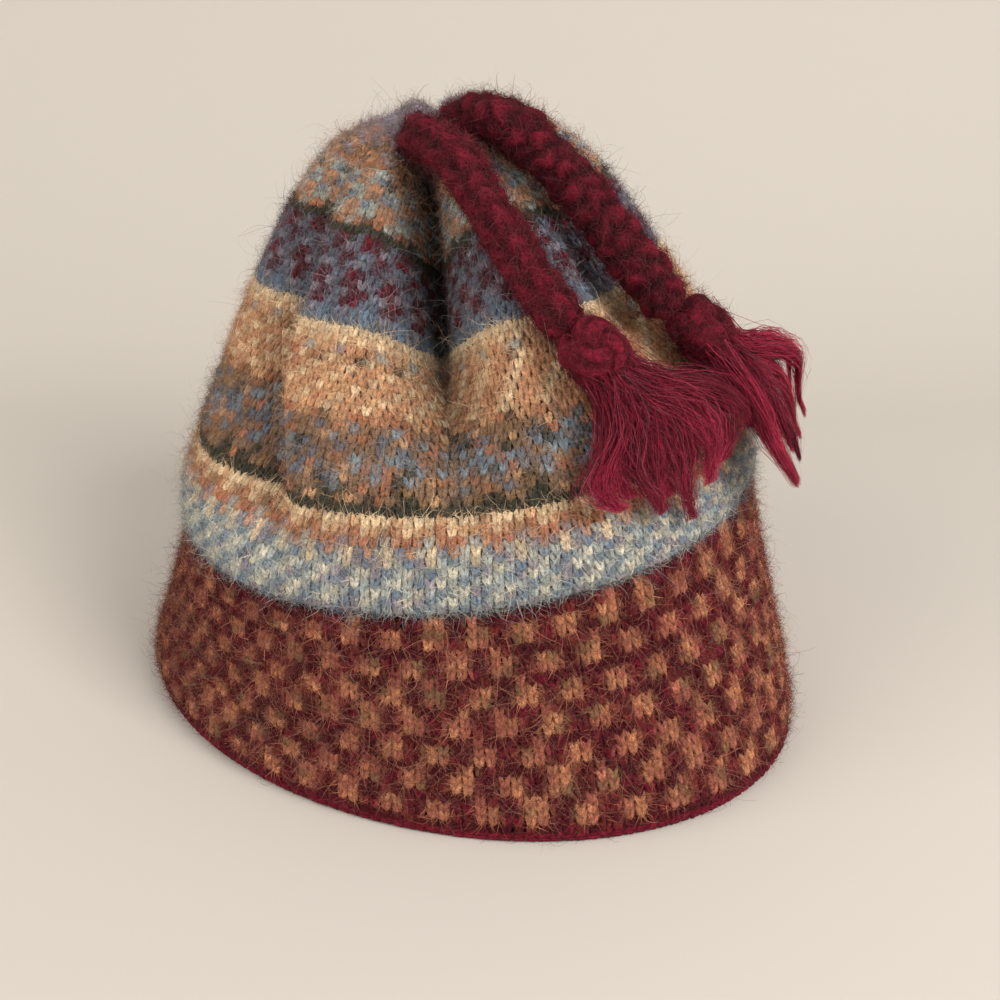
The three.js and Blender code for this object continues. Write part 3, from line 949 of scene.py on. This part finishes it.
# The hem is one row of stitches that lies along the rim, at this share of the cuff's rise
HEM = 0.06
hem_angle, hem_round = ring(CUFF, [], HEM, CUFF_COUNT)
hem_side, _, hem_out = axes(CUFF, [], hem_angle, HEM)
hem_size = np.tile([STITCH_DEPTH, 1.15 * hem_round / CUFF_COUNT, STITCH_DEPTH], (CUFF_COUNT, 1))
hem_tint = np.tile(COLOUR["crimson"] * 1.1, (CUFF_COUNT, 1))
hem_point = form(CUFF, [], hem_angle, HEM) + hem_out * 0.25 * MM
cuff_hem = knit("cuff_hem", [hem_point, hem_side, hem_out, hem_size, hem_tint], CUFF_WOOL, 6)
half = crown_stitches[0][:, 2] < np.median(crown_stitches[0][:, 2])
crown_low = knit("crown_knit_low", [p[half] for p in crown_stitches], CROWN_WOOL, 4, 1.3)
crown_high = knit("crown_knit_high", [p[~half] for p in crown_stitches], CROWN_WOOL, 5, 1.3)
print("knitted rows of", len(cuff_knit.data.polygons) + len(cuff_hem.data.polygons), "faces and",
      len(crown_low.data.polygons) + len(crown_high.data.polygons), "faces")

# %% [markdown]
# ## The nap
# Brushing pulls fibre ends out of the yarn, and they lie over the stitches as a soft nap that
# blurs the edge between two colours. Most are short fuzz, some are curls of a stitch or two, and
# a few are far longer and stand off as a halo. Each fibre is a narrow ribbon that ends in a point,
# in the colours of the stitch that it grows from and of one near it. Hair curves would render as
# well, but the exported model needs faces.

# %% fibre forms
def ribbon(seed, segments, curl):
    """One fibre of unit length along Y that lifts and wanders, and narrows to a point."""
    rng = np.random.default_rng(seed)
    share = np.linspace(0, 1, segments + 1)
    lift = rng.uniform(0.05, 0.35) * np.sin(share * rng.uniform(1.5, 4.5))
    stray = curl * np.sin(share * rng.uniform(2, 6) + rng.uniform(0, 6.3))
    stray -= stray[0]
    points, uv = [], []
    for s, z, x in zip(share[:-1], lift, stray):
        for edge in (-1, 1):
            points.append((x + edge * WIDTH * (1 - 0.5 * s), s, z))
            uv.append((s, edge))
    points.append((stray[-1], 1, lift[-1]))
    uv.append((1, 0))
    faces = [[2 * i, 2 * i + 1, 2 * i + 3, 2 * i + 2] for i in range(segments - 1)]
    faces.append([2 * segments - 2, 2 * segments - 1, 2 * segments])
    return np.array(points), faces, np.array(uv, float), np.ones(len(points))


WIDTH = 0.02
FUZZ = forms_of("fuzz", [ribbon(seed, 1, 0.3) for seed in range(8)])
CURL = forms_of("curl", [ribbon(seed, 4, 0.5) for seed in range(20, 40)])
LONG = forms_of("long", [ribbon(seed, 7, 0.3) for seed in range(40, 56)])


# %% growing fibres
def fibres(name, places, count, lengths, lift, forms, width, seed, pale, hidden=()):
    """Fibres from random places of a piece, which lie along it and lift off, fewer where hidden."""
    rng = np.random.default_rng(seed)
    points, along, out, size, tint = places
    worn = 1 - 0.85 * hidden if len(hidden) == len(points) else np.ones(len(points))
    pick = rng.choice(len(points), size=count, p=worn / worn.sum())
    side = np.cross(along[pick], out[pick])
    turn = rng.uniform(0, 2 * np.pi, (count, 1))
    lying = np.cos(turn) * side + np.sin(turn) * along[pick]
    rising = np.abs(rng.normal(0, lift, (count, 1)))
    aim = unit(lying + rising * out[pick])
    spot = (points[pick] + side * rng.uniform(-0.5, 0.5, (count, 1)) * size[pick, :1]
            + along[pick] * rng.uniform(-0.5, 0.5, (count, 1)) * size[pick, 1:2]
            + out[pick] * rng.uniform(0.1, 0.7, (count, 1)) * MM)
    length = rng.uniform(*lengths, (count, 1)) * MM
    spread = np.full((count, 1), width * MM / (2 * WIDTH))
    near = (pick + rng.integers(-9, 10, count)) % len(points)
    blend = rng.power(0.6, (count, 1)) * 0.8
    tone = rng.uniform(0.6, 1.4 if forms is FUZZ else 1.1, (count, 1))
    colour = (tint[pick] * (1 - blend) + tint[near] * blend) * tone
    colour = colour + (COLOUR["down"] - colour) * pale * rng.uniform(0, 1, (count, 1))
    facing = unit(out[pick] + 0.5 * rng.normal(size=(count, 3)))
    end = spot + aim * length
    inside = (end[:, 2] > 0.4 * length[:, 0] + 1 * MM) & (spot[:, 2] > 1 * MM)
    scale = np.concatenate([spread, length, length], 1)
    chosen = [spot, aim, facing, scale, colour, rng.integers(len(forms.objects), size=count)]
    return set_forms(name, [c[inside] for c in chosen], forms, FIBRE_WOOL, 0.25, 0.2, seed)


# %% nap of the knitting
# The maroon strand is the hairier one, so its red shows in the nap of the dots too
cuff_ends = cuff_stitches[:4] + [cuff_stitches[4] * 0.75 + COLOUR["crimson"] * 0.25]
cuff_nap = fibres("cuff_nap", cuff_ends, 80000, (1.6, 4.2), 0.3, FUZZ, 0.15, 31, 0.02)
cuff_curls = fibres("cuff_curls", cuff_ends, 16000, (3.5, 9), 0.25, CURL, 0.08, 41, 0.15)
cuff_halo = fibres("cuff_halo", cuff_ends, 900, (6, 13), 0.8, LONG, 0.07, 33, 0.4)
# The crown's fibres take the colours of their stitches, painted fold shade included.
crown_nap = fibres("crown_nap", crown_stitches, 100000, (1.6, 4.2), 0.3, FUZZ, 0.15, 32, 0.06,
                   crown_fold_shade)
crown_curls = fibres("crown_curls", crown_stitches, 18000, (3.5, 9), 0.25, CURL, 0.08, 42, 0.2,
                     crown_fold_shade)
crown_halo = fibres("crown_halo", crown_stitches, 1500, (6, 13), 0.8, LONG, 0.07, 34, 0.35)
print(sum(len(o.data.polygons) for o in (cuff_nap, crown_nap)), "faces of fuzz")


# %% fibres of the cords
def cord_places(piece):
    """Points, directions and colours of a tube's own face, for fibres to grow from."""
    mesh = piece.data
    count = len(mesh.vertices)
    points, out, tint = np.empty(count * 3), np.empty(count * 3), np.empty(count * 4)
    mesh.vertices.foreach_get("co", points)
    mesh.vertex_normals.foreach_get("vector", out)
    mesh.attributes["yarn"].data.foreach_get("color", tint)
    points, out, tint = points.reshape(-1, 3), out.reshape(-1, 3), tint.reshape(-1, 4)[:, :3]
    along = unit(np.cross(out, [0.31, 0.2, 0.93]))
    # The tube's colours hold its painted shade, and its fibres take them.
    return [points, along, out, np.full((count, 3), 0.5 * MM), tint * 1.2]


def joined(*all_places):
    return [np.concatenate(kind) for kind in zip(*all_places)]


front_places = joined(cord_places(cord_front), cord_places(knot_front))
back_places = joined(cord_places(cord_back), cord_places(knot_back))
NAP = (1.6, 3.6)
CURLS = (3, 7)
front_nap = fibres("drawcord_nap_front", front_places, 15000, NAP, 0.1, FUZZ, 0.13, 35, 0.04)
front_curls = fibres("drawcord_curls_front", front_places, 2200, CURLS, 0.12, CURL, 0.11, 45, 0.06)
back_nap = fibres("drawcord_nap_back", back_places, 16000, NAP, 0.1, FUZZ, 0.13, 36, 0.04)
back_curls = fibres("drawcord_curls_back", back_places, 2300, CURLS, 0.12, CURL, 0.11, 46, 0.06)
print("cord fuzz from", len(front_places[0]), "and", len(back_places[0]), "places")

# %% [markdown]
# ## What stands for what
# Each finished piece replaces a solid of the model and rides on the hat's one body.

# %% pieces
PIECES = {
    "cuff_wool": [cuff_wall, cuff_knit, cuff_hem, cuff_nap, cuff_curls, cuff_halo],
    "crown_wool": [crown_wall, crown_low, crown_high, crown_nap, crown_curls, crown_halo],
    "cord_wool": [cord_front, cord_back, knot_front, knot_back, front_nap, front_curls, back_nap,
                  back_curls],
    "tassel_wool": [tassel_front, tassel_back],
}
for slot_name, members in PIECES.items():
    for member in members:
        keep(member)
for member, solid in [(cuff_wall, "cuff"), (crown_wall, "crown"), (cord_front, "cord_front"),
                      (cord_back, "cord_back"), (knot_front, "knot_front"),
                      (knot_back, "knot_back"), (tassel_front, "tassel_front"),
                      (tassel_back, "tassel_back")]:
    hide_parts(solid)

# %% [markdown]
# ## Stage and light
# The hat stands on a pale sweep, as in a small studio, so nothing else tints it. A wide soft
# light from the upper right front draws the folds, and a dim one fills the left side.

# %% stage
def sweep():
    across = np.array([-3.0, 3.0])
    profile = [(-4.0, 0.0), (0.25, 0.0)]
    bend = np.linspace(0, np.pi / 2, 12)
    profile += [(0.25 + 0.3 * math.sin(b), 0.3 - 0.3 * math.cos(b)) for b in bend[1:]]
    profile += [(0.55, 1.6)]
    turn = AZIMUTH + YAW
    forward = np.array([-math.sin(turn), math.cos(turn), 0])
    right = np.array([math.cos(turn), math.sin(turn), 0])
    points = np.array([forward * d + right * x + np.array([0, 0, z])
                       for d, z in profile for x in across])
    faces = [[2 * i, 2 * i + 1, 2 * i + 3, 2 * i + 2] for i in range(len(profile) - 1)]
    paper = bpy.data.materials.new("matt paper sweep")
    paper.use_nodes = True
    shader = paper.node_tree.nodes["Principled BSDF"]
    shader.inputs["Base Color"].default_value = (*linear("d3cec6"), 1)
    shader.inputs["Roughness"].default_value = 0.95
    shader.inputs["Specular IOR Level"].default_value = 0.1
    mesh = bpy.data.meshes.new("sweep")
    mesh.from_pydata(points.tolist(), [], faces)
    mesh.polygons.foreach_set("use_smooth", np.ones(len(mesh.polygons), bool))
    mesh.materials.append(paper)
    made = bpy.data.objects.new("sweep", mesh)
    scene.collection.objects.link(made)
    made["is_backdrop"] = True
    print("sweep of", len(faces), "faces")


sweep()


# %% light
def soft_light(name, at, size, power, colour):
    lamp = bpy.data.lights.new(name, "AREA")
    lamp.size = size
    lamp.energy = power
    lamp.color = linear(colour)
    made = bpy.data.objects.new(name, lamp)
    scene.collection.objects.link(made)
    made.location = at
    made.rotation_euler = (Vector((0, 0, 0.08)) - Vector(at)).to_track_quat("-Z", "Y").to_euler()


soft_light("key", (1.0, -0.2, 0.8), 0.5, 13, "fff9f2")
soft_light("fill", (-0.35, -0.9, 0.6), 0.9, 5.8, "fff6ea")
world = bpy.data.worlds.new("studio light")
world.use_nodes = True
world.node_tree.nodes["Background"].inputs["Color"].default_value = (0.94, 0.93, 0.94, 1)
world.node_tree.nodes["Background"].inputs["Strength"].default_value = 0.45
scene.world = world
scene.view_settings.view_transform = "Standard"
print(len(bpy.data.lights), "lights")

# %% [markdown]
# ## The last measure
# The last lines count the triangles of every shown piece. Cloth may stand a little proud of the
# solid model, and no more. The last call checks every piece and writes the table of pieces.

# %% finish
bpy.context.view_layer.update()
total = sum(len(p.vertices) - 2 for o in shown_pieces() for p in o.data.polygons)
print(total, "triangles in all")
